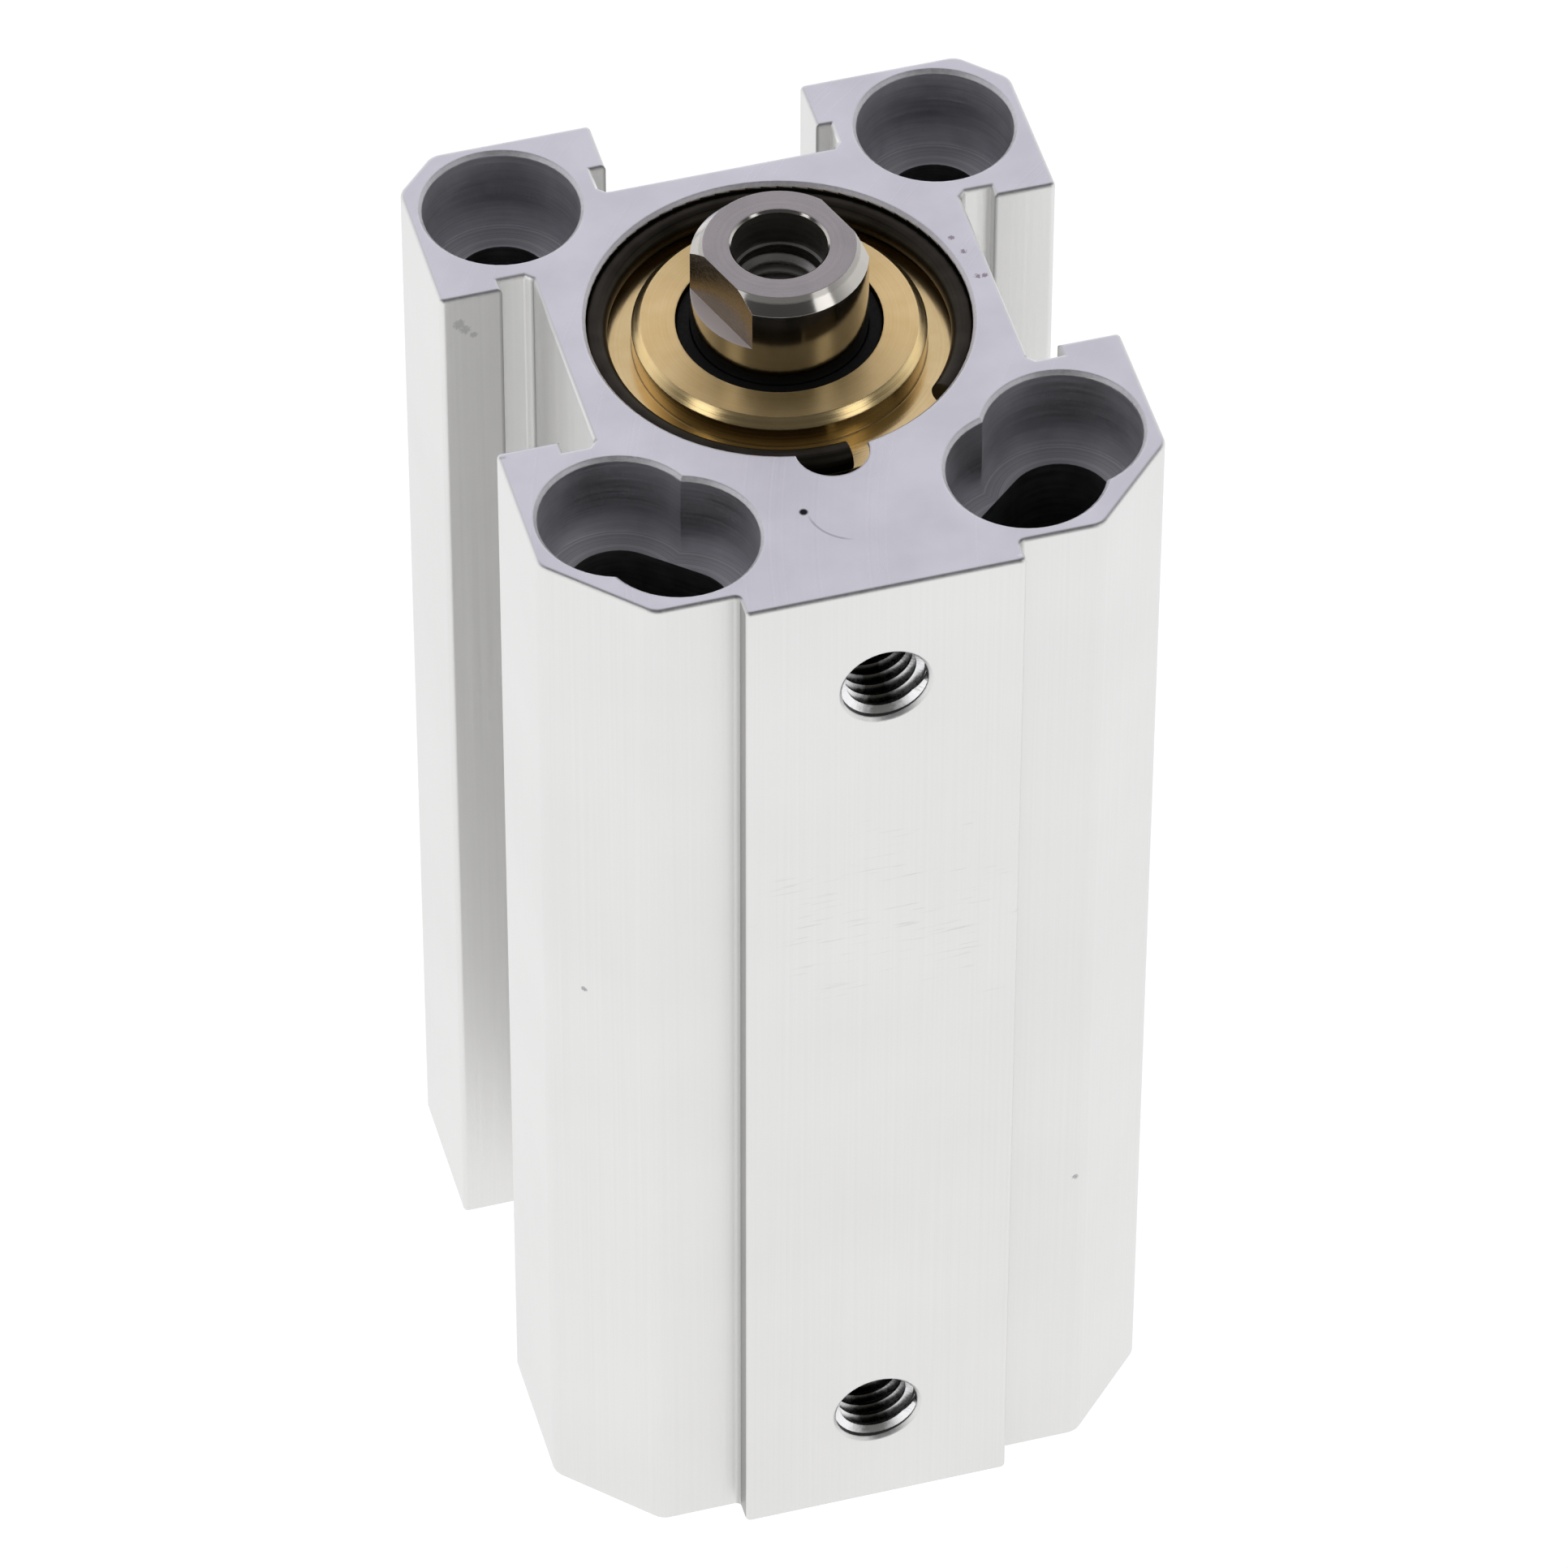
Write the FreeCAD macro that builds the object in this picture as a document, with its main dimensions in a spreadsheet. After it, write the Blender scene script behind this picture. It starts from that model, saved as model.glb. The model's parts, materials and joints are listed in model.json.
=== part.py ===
import FreeCAD, Part
import os
import Sketcher

# Short-stroke cylinder: compact double-acting pneumatic cylinder with a round-wire ring at each end.
# Frame in millimetres: origin on the bore axis at the rear end face, +Z along the rod, ports towards -Y.

# Driving dimensions
DIMENSIONS = {
    # Body outline
    "body_width": 36,
    "body_length": 77,
    "back_face": 18,
    "front_face": 20.5,
    "port_face": 22,
    "port_pad_width": 16,
    "back_corner": 2.5,
    "front_corner": 5.2,
    "corner_round": 1.2,
    "upright_round": 0.3,
    "end_round": 0.25,
    "edge_break": 0.2,
    # Sensor slots, measured from the bore axis
    "slot_opening": 12.4,
    "slot_width": 14.1,
    "slot_floor": 12.5,
    "slot_lip": 14.4,
    "slot_corner": 0.4,
    # Mounting holes
    "bolt_pitch": 25.5,
    "bolt_hole": 5.5,
    "bolt_channel": 6,
    "counterbore": 9,
    "counterbore_depth": 5.7,
    "second_bolt_pitch": 19.9,
    "second_bolt_reach": 15.15,
    # Bore and what holds the covers in it, depths from the nearer end face
    "bore": 20,
    "cover_bore": 21.7,
    "cover_seat": 5.6,
    "cover_face": 2,
    "ring_wire": 1.6,
    "ring_sink": 0.4,
    "ring_gap_angle": 40,
    "ring_turn": 276,
    "notch_width": 4.2,
    # Ports
    "port_thread": 5,
    "port_depth": 5.5,
    "port_from_end": 7.8,
    "port_drill": 2.8,
    # Covers and their seals
    "cover_boss": 16.6,
    "boss_drop": 0.15,
    "boss_edge": 0.5,
    "boss_mouth": 11.7,
    "cover_nose": 16,
    "nose_end": 8.4,
    "wiper_top": 0.9,
    "wiper_end": 2.2,
    "rod_seal_top": 2.6,
    "rod_seal_end": 4.6,
    "wiper_groove": 14,
    "wiper_lip_top": 0.45,
    "lip_bevel": 0.45,
    "lip_play": 0.1,
    "groove_web": 0.6,
    "rod_seal_groove": 14.6,
    "o_ring_wire": 1.4,
    "o_ring_middle": 3.9,
    "o_ring_room": 2,
    "bumper_thickness": 0.8,
    "bumper_hole": 11.2,
    # Rod
    "rod": 10,
    "rod_out": 5.65,
    "rod_bevel_width": 0.7,
    "rod_bevel_height": 0.85,
    "flat_width": 8,
    "flat_height": 3.5,
    "flat_turn": 20,
    "rod_thread": 5,
    "rod_thread_depth": 11,
    "rod_mouth": 5.4,
    "rod_mouth_edge": 0.12,
    "rod_mouth_depth": 2.4,
    "spigot": 7,
    # Piston, heights from its rear face
    "stroke": 50,
    "piston": 19.6,
    "piston_skirt": 17.4,
    "skirt_height": 2.8,
    "seal_low": 3.4,
    "seal_high": 5.6,
    "seal_floor": 15.2,
    "seal_valley": 0.6,
    "magnet_low": 6.2,
    "magnet_high": 8.4,
    "magnet_outside": 19.2,
    "magnet_hole": 12,
    "guide_low": 9,
    "guide_high": 10.8,
    "guide_floor": 18,
    "guide_gap_angle": 5,
    "rod_ring_low": 8.9,
    "rod_ring_wire": 1,
    "screw_room": 3.6,
    "screw_room_width": 10.8,
    "washer_thickness": 0.6,
    "screw": 4,
    "screw_head": 7,
    "screw_head_height": 2.2,
    "screw_key": 2.5,
    "screw_key_depth": 1.3,
    "screw_length": 7,
    # Fits: a sliding pair and a pair that stays put
    "running_gap": 0.04,
    "seat_gap": 0.05,
}

ORIGIN = -1
VERTICAL_AXIS = -2
START = 1
END = 2
CENTRE = 3
TINY = 1e-9
FULL_TURN = 360
SLOT_SIDES = 3
KEY_SIDES = 6

document = FreeCAD.newDocument("short_stroke_cylinder")
sheet = document.addObject("Spreadsheet::Sheet", "dims")
for row, (alias, value) in enumerate(DIMENSIONS.items(), start=1):
    sheet.set(f"A{row}", alias)
    sheet.set(f"B{row}", str(value))
    sheet.setAlias(f"B{row}", alias)
document.recompute()


# Expressions on the sheet
def of(alias):
    return f"dims.{alias}"


def half(alias):
    return f"dims.{alias} / 2"


def inside(alias, gap):
    """Radius of a piece that sits in a round hole of the named diameter."""
    return f"dims.{alias} / 2 - dims.{gap}"


def outside(alias, gap):
    """Radius of a hole round a piece of the named diameter."""
    return f"dims.{alias} / 2 + dims.{gap}"


def from_front(depth):
    """Height of a point that lies a depth below the front end face."""
    return f"dims.body_length - ({depth})"


def from_rear(depth):
    return f"({depth})"


def on_piston(height):
    """Height of a point of the piston, which rests on the rear bumper."""
    return f"dims.cover_seat + dims.bumper_thickness + ({height})"


def size(text):
    value = sheet.evalExpression(text)
    return float(getattr(value, "Value", value))


ENDS = (from_rear, from_front)
PISTON_LENGTH = "dims.body_length - dims.nose_end - dims.cover_seat - 2 * dims.bumper_thickness - dims.stroke"
ROD_TOP = "dims.body_length + dims.rod_out"


# Sketch helpers
def new_body(label):
    body = document.addObject("PartDesign::Body", label)
    body.Label = label
    return body


def origin_feature(body, role):
    return next(item for item in body.Origin.OriginFeatures if item.Role == role)


def new_sketch(body, name, role, across="0", along="0", up="0", turn="0"):
    """Sketch on an origin plane of the body, shifted and turned in that plane by expressions."""
    sketch = body.newObject("Sketcher::SketchObject", name)
    sketch.AttachmentSupport = (origin_feature(body, role), [""])
    sketch.MapMode = "FlatFace"
    for axis, text in (("x", across), ("y", along), ("z", up)):
        sketch.setExpression(f"AttachmentOffset.Base.{axis}", text)
    sketch.setExpression("AttachmentOffset.Rotation.Angle", turn)
    return sketch


def pin(sketch, index, point, across, along):
    """Hold one point of a sketch at distances from its origin that follow the sheet."""
    for kind, text, axis in (("DistanceX", across, VERTICAL_AXIS), ("DistanceY", along, ORIGIN)):
        value = size(text)
        if abs(value) < TINY:
            sketch.addConstraint(Sketcher.Constraint("PointOnObject", index, point, axis))
        elif value > 0:
            held = sketch.addConstraint(Sketcher.Constraint(kind, ORIGIN, START, index, point, value))
            sketch.setExpression(f"Constraints[{held}]", text)
        else:
            held = sketch.addConstraint(Sketcher.Constraint(kind, index, point, ORIGIN, START, -value))
            sketch.setExpression(f"Constraints[{held}]", f"-({text})")


def polygon(sketch, corners):
    """Closed outline of straight lines through corners given as pairs of expressions."""
    places = [FreeCAD.Vector(size(across), size(along), 0) for across, along in corners]
    following = places[1:] + places[:1]
    lines = [sketch.addGeometry(Part.LineSegment(a, b)) for a, b in zip(places, following)]
    for line, after, corner in zip(lines, lines[1:] + lines[:1], corners):
        sketch.addConstraint(Sketcher.Constraint("Coincident", line, END, after, START))
        pin(sketch, line, START, *corner)


def circle(sketch, across, along, radius):
    middle = FreeCAD.Vector(size(across), size(along), 0)
    index = sketch.addGeometry(Part.Circle(middle, FreeCAD.Vector(0, 0, 1), size(radius)))
    pin(sketch, index, CENTRE, across, along)
    held = sketch.addConstraint(Sketcher.Constraint("Radius", index, size(radius)))
    sketch.setExpression(f"Constraints[{held}]", radius)


# Feature helpers
def turned(label, corners, angle=str(FULL_TURN)):
    """Body made by turning a section of radius and height pairs round the bore axis."""
    body = new_body(label)
    sketch = new_sketch(body, f"{label}_section", "XZ_Plane")
    polygon(sketch, corners)
    solid = body.newObject("PartDesign::Revolution", f"{label}_turned")
    solid.Profile = sketch
    solid.ReferenceAxis = (sketch, ["V_Axis"])
    solid.setExpression("Angle", angle)
    document.recompute()
    return body


def turned_cut(body, name, sketch, axis):
    """Groove of a full turn round one axis of the sketch."""
    cut = body.newObject("PartDesign::Groove", name)
    cut.Profile = sketch
    cut.ReferenceAxis = (sketch, [axis])
    cut.Angle = FULL_TURN
    document.recompute()
    return cut


def straight_cut(body, name, sketch, depth=None, upward=False):
    """Pocket to a depth, or through everything when no depth is given."""
    cut = body.newObject("PartDesign::Pocket", name)
    cut.Profile = sketch
    cut.Reversed = upward
    if depth is None:
        cut.Type = "ThroughAll"
    else:
        cut.setExpression("Length", depth)
    document.recompute()
    return cut


def mirrored(body, name, cut):
    """Repeat a cut on the other side of the plane through the bore and the ports."""
    mirror = body.newObject("PartDesign::Mirrored", name)
    mirror.Originals = [cut]
    mirror.MirrorPlane = (origin_feature(body, "YZ_Plane"), [""])
    body.Tip = mirror
    document.recompute()


def edge_names(shape, wanted):
    return [f"Edge{number}" for number, edge in enumerate(shape.Edges, start=1) if wanted(edge)]


def rounded(body, name, radius, wanted):
    """Fillet on the edges of the body so far that are wanted."""
    base = body.Tip
    fillet = body.newObject("PartDesign::Fillet", name)
    fillet.Base = (base, edge_names(base.Shape, wanted))
    fillet.setExpression("Radius", radius)
    document.recompute()


def upright(edge):
    ends = [vertex.Point for vertex in edge.Vertexes]
    return len(ends) == 2 and abs(ends[0].x - ends[1].x) + abs(ends[0].y - ends[1].y) < TINY


def beside_corner(edge):
    """Whether an edge is beyond the port pad and the sensor slots, where the bevelled corners are."""
    place = edge.Vertexes[0].Point
    past_pad = abs(place.x) > size(half("port_pad_width")) + TINY
    return past_pad and abs(place.y) > size(half("slot_width")) + TINY


def on_bevelled_corner(edge):
    return upright(edge) and beside_corner(edge)


def on_outside(edge):
    """Whether an edge lies in a flat side of the body or on the port pad, not in the depth of a slot."""
    place = edge.Vertexes[0].Point
    on_side = abs(place.x) > size(half("body_width")) - TINY
    on_back = place.y > size(of("back_face")) - TINY
    on_front = place.y < TINY - size(of("front_face"))
    return on_side or on_back or on_front


def on_pad_or_slot_mouth(edge):
    return upright(edge) and on_outside(edge) and not beside_corner(edge)


def on_end_face(edge):
    """Edge that lies wholly in the front or rear end face."""
    box = edge.BoundBox
    level = (box.ZMin + box.ZMax) / 2
    return box.ZLength < TINY and min(abs(level), abs(level - size("dims.body_length"))) < TINY


# Cylinder body
def body_outline(body):
    side = half("body_width")
    pad = half("port_pad_width")
    back = of("back_face")
    front = of("front_face")
    back_cut = f"{side} - dims.back_corner"
    front_cut = f"{side} - dims.front_corner"
    right = [
        (pad, f"-{of('port_face')}"),
        (pad, f"-{front}"),
        (front_cut, f"-{front}"),
        (side, f"-({front} - dims.front_corner)"),
        (side, f"{back} - dims.back_corner"),
        (back_cut, back),
    ]
    left = [(f"-({across})", along) for across, along in reversed(right)]
    sketch = new_sketch(body, "outline", "XY_Plane")
    polygon(sketch, right + left)
    block = body.newObject("PartDesign::Pad", "extruded_block")
    block.Profile = sketch
    block.setExpression("Length", of("body_length"))
    document.recompute()


def sensor_slots(body):
    """Undercut slots on the right, back and left sides."""
    floor_half = f"{half('slot_width')} - dims.slot_corner"
    upper = [
        (of("slot_floor"), floor_half),
        ("dims.slot_floor + dims.slot_corner", half("slot_width")),
        (of("slot_lip"), half("slot_width")),
        (of("slot_lip"), half("slot_opening")),
        (of("body_width"), half("slot_opening")),
    ]
    lower = [(across, f"-({along})") for across, along in reversed(upper)]
    sketch = new_sketch(body, "slot_profile", "XY_Plane")
    polygon(sketch, upper + lower)
    slot = straight_cut(body, "right_slot", sketch, upward=True)
    pattern = body.newObject("PartDesign::PolarPattern", "three_slots")
    pattern.Originals = [slot]
    pattern.Axis = (origin_feature(body, "Z_Axis"), [""])
    pattern.Angle = FULL_TURN / 2
    pattern.Occurrences = SLOT_SIDES
    body.Tip = pattern
    document.recompute()


def bore_cut(body):
    """Bore, cover recesses and ring grooves at both ends, as one turned section."""
    wall = half("cover_bore")
    groove = f"{wall} + dims.ring_sink + dims.seat_gap"
    mouth = f"{wall} + dims.edge_break"
    groove_near = "dims.cover_face - dims.ring_wire - dims.seat_gap"
    groove_far = "dims.cover_face + dims.seat_gap"
    steps = [
        ("0", "0"),
        (mouth, "0"),
        (wall, of("edge_break")),
        (wall, groove_near),
        (groove, groove_near),
        (groove, groove_far),
        (wall, groove_far),
        (wall, of("cover_seat")),
        (half("bore"), of("cover_seat")),
    ]
    rear = [(radius, from_rear(depth)) for radius, depth in steps]
    front = [(radius, from_front(depth)) for radius, depth in reversed(steps)]
    sketch = new_sketch(body, "bore_section", "XZ_Plane")
    polygon(sketch, rear + front)
    turned_cut(body, "bore_cut", sketch, "V_Axis")
    for end, from_end in zip(("rear", "front"), ENDS):
        notch = new_sketch(body, f"{end}_notch_outline", "XY_Plane", up=from_end("0"))
        circle(notch, "0", f"-({wall})", half("notch_width"))
        straight_cut(body, f"{end}_notch", notch, of("cover_face"), upward=(end == "rear"))


def bolt_hole(body, name, through, across, along):
    """Through hole with a counterbore at each end, and its twin on the other side."""
    steps = [
        ("0", "0"),
        ("dims.counterbore / 2 + dims.edge_break", "0"),
        (half("counterbore"), of("edge_break")),
        (half("counterbore"), of("counterbore_depth")),
        (half(through), of("counterbore_depth")),
    ]
    rear = [(radius, from_rear(depth)) for radius, depth in steps]
    front = [(radius, from_front(depth)) for radius, depth in reversed(steps)]
    sketch = new_sketch(body, f"{name}_section", "XZ_Plane", across=across, up=f"-({along})")
    polygon(sketch, rear + front)
    mirrored(body, f"{name}_pair", turned_cut(body, name, sketch, "V_Axis"))


def bolt_channel(body):
    """Oblong channel that joins each front hole to its second position."""
    radius = half("bolt_channel")
    shift = "(dims.second_bolt_pitch - dims.bolt_pitch) / 2"
    drop = "dims.bolt_pitch / 2 - dims.second_bolt_reach"
    run = f"hypot({shift}; {drop})"
    sketch = new_sketch(
        body, "channel_outline", "XY_Plane",
        across=half("bolt_pitch"), along=f"-({half('bolt_pitch')})", turn=f"atan2({drop}; {shift})",
    )
    polygon(sketch, [("0", f"-({radius})"), (run, f"-({radius})"), (run, radius), ("0", radius)])
    mirrored(body, "channel_pair", straight_cut(body, "channel", sketch, upward=True))


def ports(body):
    """Threaded port and drilled way into the bore, near each end."""
    face = of("port_face")
    bottom = f"-({face} - dims.port_depth)"
    in_bore = "-(dims.bore / 2 - dims.port_drill / 2)"
    steps = [
        (f"-({face})", "0"),
        (f"-({face})", "dims.port_thread / 2 + dims.edge_break"),
        (f"-({face} - dims.edge_break)", half("port_thread")),
        (bottom, half("port_thread")),
        (bottom, half("port_drill")),
        (in_bore, half("port_drill")),
        (in_bore, "0"),
    ]
    for end, from_end in zip(("rear", "front"), ENDS):
        sketch = new_sketch(body, f"{end}_port_section", "YZ_Plane", along=from_end(of("port_from_end")))
        polygon(sketch, steps)
        turned_cut(body, f"{end}_port", sketch, "H_Axis")


def cylinder_body():
    body = new_body("cylinder_body")
    body_outline(body)
    sensor_slots(body)
    rounded(body, "corner_rounds", of("corner_round"), on_bevelled_corner)
    rounded(body, "upright_rounds", of("upright_round"), on_pad_or_slot_mouth)
    rounded(body, "end_rounds", of("end_round"), on_end_face)
    bore_cut(body)
    pitch = half("bolt_pitch")
    bolt_hole(body, "back_bolt_hole", "bolt_hole", pitch, pitch)
    bolt_hole(body, "front_bolt_hole", "bolt_channel", pitch, f"-({pitch})")
    bolt_hole(body, "second_bolt_hole", "bolt_channel", half("second_bolt_pitch"), "-dims.second_bolt_reach")
    bolt_channel(body)
    ports(body)
    return body


# Covers
def cover_flange(from_end):
    """Outer steps of a cover, from its face under the wire ring to its seat, with the ring groove."""
    flange = inside("cover_bore", "seat_gap")
    floor = "dims.cover_bore / 2 - dims.o_ring_wire - dims.seat_gap"
    near = "dims.o_ring_middle - dims.o_ring_room / 2"
    far = "dims.o_ring_middle + dims.o_ring_room / 2"
    steps = [
        (half("cover_boss"), of("cover_face")),
        (flange, of("cover_face")),
        (flange, near),
        (floor, near),
        (floor, far),
        (flange, far),
        (flange, of("cover_seat")),
    ]
    return [(radius, from_end(depth)) for radius, depth in steps]


def rod_cover():
    """Brass cover: boss, flange and nose outside, wiper groove, seal groove and rod guide inside."""
    guide = outside("rod", "running_gap")
    outer = [
        ("dims.cover_boss / 2 - dims.boss_edge", from_front(of("boss_drop"))),
        (half("cover_boss"), from_front("dims.boss_drop + dims.boss_edge")),
        *cover_flange(from_front),
        (half("cover_nose"), from_front(of("cover_seat"))),
        (half("cover_nose"), from_front(of("nose_end"))),
    ]
    web = "dims.rod / 2 + dims.groove_web"
    inner = [
        (guide, of("nose_end")),
        (guide, of("rod_seal_end")),
        (half("rod_seal_groove"), of("rod_seal_end")),
        (half("rod_seal_groove"), of("rod_seal_top")),
        (web, of("rod_seal_top")),
        (web, of("wiper_end")),
        (half("wiper_groove"), of("wiper_end")),
        (half("wiper_groove"), of("wiper_top")),
        (half("boss_mouth"), of("wiper_top")),
        (half("boss_mouth"), of("boss_drop")),
    ]
    return turned("rod_cover", outer + [(radius, from_front(depth)) for radius, depth in inner])


def rear_cover():
    """Closed cover whose boss lies in the plane of the rear end face."""
    outer = [
        ("dims.cover_boss / 2 - dims.boss_edge", "0"),
        (half("cover_boss"), of("boss_edge")),
        *cover_flange(from_rear),
    ]
    return turned("rear_cover", [("0", "0"), *outer, ("0", of("cover_seat"))])


def bumper(label, near, far):
    return turned(label, [
        (half("bumper_hole"), near),
        (half("cover_nose"), near),
        (half("cover_nose"), far),
        (half("bumper_hole"), far),
    ])


# Wire rings and O-rings
def ring(label, radius, wire, height):
    torus = document.addObject("Part::Torus", label)
    torus.Label = label
    torus.setExpression("Radius1", radius)
    torus.setExpression("Radius2", half(wire))
    torus.setExpression("Placement.Base.z", height)
    document.recompute()
    return torus


def snap_ring(label, from_end):
    """Open ring of round wire, one end of it at the pry notch."""
    radius = "dims.cover_bore / 2 + dims.ring_sink - dims.ring_wire / 2"
    torus = ring(label, radius, "ring_wire", from_end("dims.cover_face - dims.ring_wire / 2"))
    torus.setExpression("Angle3", f"{FULL_TURN} - dims.ring_gap_angle")
    torus.setExpression("Placement.Rotation.Angle", "dims.ring_turn + dims.ring_gap_angle")
    document.recompute()
    return torus


def cover_o_ring(label, from_end):
    radius = "dims.cover_bore / 2 - dims.o_ring_wire / 2 - dims.seat_gap / 2"
    return ring(label, radius, "o_ring_wire", from_end(of("o_ring_middle")))


# Rod seals
def lip_ring(label, place, lip_top, lip_radius):
    """Seal ring in the named groove of the rod cover, with a lip that bears on the rod."""
    bore_radius = outside("rod", "running_gap")
    back = inside(f"{place}_groove", "seat_gap")
    heel = f"dims.{place}_end - dims.seat_gap"
    shoulder = f"dims.{place}_top + dims.seat_gap"
    steps = [
        (bore_radius, lip_top),
        (lip_radius, lip_top),
        (lip_radius, shoulder),
        (back, shoulder),
        (back, heel),
        (f"{bore_radius} + dims.lip_bevel", heel),
        (bore_radius, f"{heel} - dims.lip_bevel"),
    ]
    return turned(label, [(radius, from_front(depth)) for radius, depth in steps])


# Rod
def piston_rod():
    """Rod with wrench flats, threaded end and a spigot for the piston."""
    shoulder = on_piston(PISTON_LENGTH)
    spigot_end = on_piston("dims.screw_room + dims.seat_gap")
    body = turned("piston_rod", [
        ("0", ROD_TOP),
        ("dims.rod / 2 - dims.rod_bevel_width", ROD_TOP),
        (half("rod"), f"{ROD_TOP} - dims.rod_bevel_height"),
        (half("rod"), shoulder),
        (half("spigot"), shoulder),
        (half("spigot"), spigot_end),
        ("0", spigot_end),
    ])
    flats = new_sketch(body, "flat_outline", "XY_Plane", up=ROD_TOP, turn=of("flat_turn"))
    for side in ("", "-"):
        polygon(flats, [
            (f"{side}({half('flat_width')})", of("rod")),
            (f"{side}({half('flat_width')})", f"-({of('rod')})"),
            (f"{side}({of('rod')})", f"-({of('rod')})"),
            (f"{side}({of('rod')})", of("rod")),
        ])
    straight_cut(body, "wrench_flats", flats, of("flat_height"))
    thread_end = f"{ROD_TOP} - dims.rod_thread_depth"
    front_hole = new_sketch(body, "front_hole_section", "XZ_Plane")
    polygon(front_hole, [
        ("0", ROD_TOP),
        (outside("rod_mouth", "rod_mouth_edge"), ROD_TOP),
        (half("rod_mouth"), f"{ROD_TOP} - dims.rod_mouth_edge"),
        (half("rod_mouth"), f"{ROD_TOP} - dims.rod_mouth_depth"),
        (half("rod_thread"), f"{ROD_TOP} - dims.rod_mouth_depth"),
        (half("rod_thread"), thread_end),
        ("0", f"{thread_end} - dims.rod_thread / 4"),
    ])
    turned_cut(body, "front_hole", front_hole, "V_Axis")
    rear_hole = new_sketch(body, "rear_hole_section", "XZ_Plane")
    hole_end = f"{spigot_end} + dims.screw_length"
    polygon(rear_hole, [
        ("0", spigot_end),
        (outside("screw", "seat_gap"), spigot_end),
        (outside("screw", "seat_gap"), hole_end),
        ("0", f"{hole_end} + dims.screw / 4"),
    ])
    turned_cut(body, "rear_hole", rear_hole, "V_Axis")
    return body


# Piston
def on_piston_steps(steps):
    return [(radius, on_piston(height)) for radius, height in steps]


def piston_rear_half():
    """Rear half: skirt clear of the port, seal groove and room for the screw."""
    bore_radius = outside("spigot", "seat_gap")
    return turned("piston_rear_half", on_piston_steps([
        (half("screw_room_width"), "0"),
        (half("piston_skirt"), "0"),
        (half("piston_skirt"), of("skirt_height")),
        (half("piston"), of("skirt_height")),
        (half("piston"), of("seal_low")),
        (half("seal_floor"), of("seal_low")),
        (half("seal_floor"), of("seal_high")),
        (half("piston"), of("seal_high")),
        (half("piston"), of("magnet_low")),
        (bore_radius, of("magnet_low")),
        (bore_radius, of("screw_room")),
        (half("screw_room_width"), of("screw_room")),
    ]))


def piston_front_half():
    """Front half: hub for the magnet, groove for the guide ring and groove for the rod's ring."""
    bore_radius = outside("spigot", "seat_gap")
    ring_floor = "dims.spigot / 2 + dims.rod_ring_wire + dims.seat_gap"
    ring_high = "dims.rod_ring_low + dims.rod_ring_wire + 4 * dims.seat_gap"
    return turned("piston_front_half", on_piston_steps([
        (bore_radius, of("magnet_low")),
        (inside("magnet_hole", "seat_gap"), of("magnet_low")),
        (inside("magnet_hole", "seat_gap"), of("magnet_high")),
        (half("piston"), of("magnet_high")),
        (half("piston"), of("guide_low")),
        (half("guide_floor"), of("guide_low")),
        (half("guide_floor"), of("guide_high")),
        (half("piston"), of("guide_high")),
        (half("piston"), PISTON_LENGTH),
        (bore_radius, PISTON_LENGTH),
        (bore_radius, ring_high),
        (ring_floor, ring_high),
        (ring_floor, of("rod_ring_low")),
        (bore_radius, of("rod_ring_low")),
    ]))


def piston_magnet():
    return turned("piston_magnet", on_piston_steps([
        (half("magnet_hole"), of("magnet_low")),
        (half("magnet_outside"), of("magnet_low")),
        (half("magnet_outside"), of("magnet_high")),
        (half("magnet_hole"), of("magnet_high")),
    ]))


def piston_seal():
    """Double-lip seal: two lips on the bore with a valley between them."""
    floor = outside("seal_floor", "running_gap")
    lip = inside("bore", "running_gap")
    low = "dims.seal_low + dims.running_gap"
    high = "dims.seal_high - dims.running_gap"
    middle = "(dims.seal_low + dims.seal_high) / 2"
    return turned("piston_seal", on_piston_steps([
        (floor, low),
        (f"{lip} - dims.lip_bevel", low),
        (lip, f"{low} + dims.lip_bevel"),
        (f"{lip} - dims.seal_valley", middle),
        (lip, f"{high} - dims.lip_bevel"),
        (f"{lip} - dims.lip_bevel", high),
        (floor, high),
    ]))


def piston_wear_ring():
    """Split guide ring."""
    floor = outside("guide_floor", "running_gap")
    low = "dims.guide_low + dims.running_gap"
    high = "dims.guide_high - dims.running_gap"
    return turned("piston_wear_ring", on_piston_steps([
        (floor, low),
        (inside("bore", "running_gap"), low),
        (inside("bore", "running_gap"), high),
        (floor, high),
    ]), f"{FULL_TURN} - dims.guide_gap_angle")


def rod_o_ring():
    radius = "dims.spigot / 2 + dims.rod_ring_wire / 2 + dims.seat_gap / 2"
    middle = "dims.rod_ring_low + dims.rod_ring_wire / 2 + 2 * dims.seat_gap"
    return ring("rod_o_ring", radius, "rod_ring_wire", on_piston(middle))


def piston_washer():
    return turned("piston_washer", on_piston_steps([
        (outside("screw", "seat_gap"), "dims.screw_room - dims.washer_thickness"),
        (inside("screw_room_width", "seat_gap"), "dims.screw_room - dims.washer_thickness"),
        (inside("screw_room_width", "seat_gap"), of("screw_room")),
        (outside("screw", "seat_gap"), of("screw_room")),
    ]))


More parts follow.
